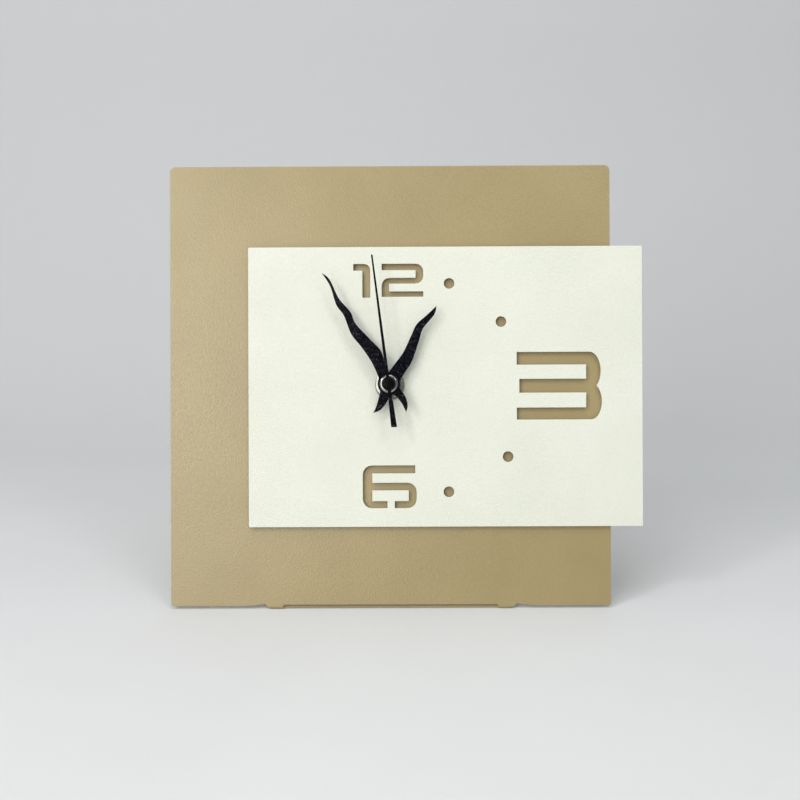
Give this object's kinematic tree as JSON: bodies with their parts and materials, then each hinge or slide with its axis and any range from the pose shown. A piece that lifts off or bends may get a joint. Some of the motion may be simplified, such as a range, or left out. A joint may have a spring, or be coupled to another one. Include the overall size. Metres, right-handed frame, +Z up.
{
  "type": "table clock",
  "caption": "Quartz table clock: oblong stencil-cut dial plate offset on a square back plate that leans on a bent sheet foot, with wave-shaped hands.",
  "frame": {"origin": "centre of the foot's flat underside, on the surface it stands on", "axes": "+Z up, dial faces -Y and its top leans back towards +Y, +X to the right when facing the dial"},
  "size_m": [0.2142, 0.0562, 0.1947],
  "materials": {
    "sand_coat": "satin sand-beige powder coat",
    "white_coat": "fine-textured off-white powder coat",
    "foam": "closed-cell adhesive foam",
    "rubber": "soft black rubber",
    "brass": "turned brass",
    "nickel": "bright nickel plate",
    "black_plastic": "black moulded plastic",
    "white_plastic": "natural white acetal",
    "steel": "bare steel",
    "magnet": "sintered ferrite magnet",
    "copper": "enamelled copper wire",
    "board": "brown paper laminate",
    "epoxy": "black epoxy drop",
    "cell_jacket": "plain printed metal jacket without text",
    "black_gloss": "gloss black lacquer"
  },
  "bodies": {
    "stand": {"back_plate": "sand_coat", "front_plate": "white_coat", "foam_pad_1": "foam", "foam_pad_2": "foam", "foam_pad_3": "foam", "foam_pad_4": "foam", "rubber_washer": "rubber", "threaded_bush": "brass", "flat_washer": "nickel", "mounting_nut": "nickel", "case_front": "black_plastic", "case_rear_cover": "black_plastic", "middle_plate": "white_plastic", "circuit_board": "board", "quartz_crystal": "nickel", "chip_blob": "epoxy", "coil_core": "steel", "coil_bobbin": "white_plastic", "coil_winding": "copper", "stator": "steel", "contact_positive": "nickel", "contact_negative": "nickel"},
    "battery": {"battery_cell": "cell_jacket"},
    "seconds": {"seconds_arbor": "steel", "seconds_wheel": "white_plastic", "second_hand": "black_gloss", "second_hand_cap": "black_gloss"},
    "rotor": {"rotor_magnet": "magnet", "rotor_pinion": "white_plastic"},
    "intermediate": {"intermediate_wheel": "white_plastic"},
    "third": {"third_wheel": "white_plastic"},
    "centre": {"centre_wheel": "brass"},
    "minute": {"cannon_pinion": "brass", "minute_hand": "black_gloss", "minute_hand_bush": "nickel"},
    "motion": {"motion_wheel": "white_plastic"},
    "hour": {"hour_wheel": "white_plastic", "hour_hand": "black_gloss", "hour_hand_bush": "brass"},
    "knob": {"setting_knob": "black_plastic"}
  },
  "joints": [
    {"name": "battery_slide", "type": "slide", "parent": "stand", "child": "battery", "axis": [0, 0.9659, -0.2588], "range_m": [0, 0.025]},
    {"name": "seconds_turn", "type": "hinge", "parent": "stand", "child": "seconds", "pos_m": [0, -0.00278, 0.0981], "axis": [0, 0.9659, -0.2588], "continuous": true},
    {"name": "rotor_turn", "type": "hinge", "parent": "stand", "child": "rotor", "pos_m": [0.00689, 0.00098, 0.11214], "axis": [0, 0.9659, -0.2588], "continuous": true},
    {"name": "intermediate_turn", "type": "hinge", "parent": "stand", "child": "intermediate", "pos_m": [0, -0.00051, 0.10655], "axis": [0, 0.9659, -0.2588], "continuous": true},
    {"name": "third_turn", "type": "hinge", "parent": "stand", "child": "third", "pos_m": [-0.00869, -0.00217, 0.10035], "axis": [0, 0.9659, -0.2588], "continuous": true},
    {"name": "centre_turn", "type": "hinge", "parent": "stand", "child": "centre", "pos_m": [0, -0.00278, 0.0981], "axis": [0, 0.9659, -0.2588], "continuous": true},
    {"name": "minute_turn", "type": "hinge", "parent": "stand", "child": "minute", "pos_m": [0, -0.00278, 0.0981], "axis": [0, 0.9659, -0.2588], "continuous": true},
    {"name": "motion_turn", "type": "hinge", "parent": "stand", "child": "motion", "pos_m": [0.0042, -0.00089, 0.10513], "axis": [0, 0.9659, -0.2588], "continuous": true},
    {"name": "hour_turn", "type": "hinge", "parent": "stand", "child": "hour", "pos_m": [0, -0.00278, 0.0981], "axis": [0, 0.9659, -0.2588], "continuous": true},
    {"name": "knob_turn", "type": "hinge", "parent": "stand", "child": "knob", "pos_m": [0.01209, -0.00015, 0.10791], "axis": [0, 0.9659, -0.2588], "continuous": true}
  ],
  "couplings": [
    {"joint": "rotor_turn", "follows": "seconds_turn", "ratio": 30},
    {"joint": "intermediate_turn", "follows": "seconds_turn", "ratio": -6},
    {"joint": "third_turn", "follows": "seconds_turn", "ratio": -0.13333},
    {"joint": "centre_turn", "follows": "seconds_turn", "ratio": 0.016667},
    {"joint": "motion_turn", "follows": "minute_turn", "ratio": -0.33333},
    {"joint": "hour_turn", "follows": "minute_turn", "ratio": 0.083333},
    {"joint": "knob_turn", "follows": "minute_turn", "ratio": 1}
  ]
}
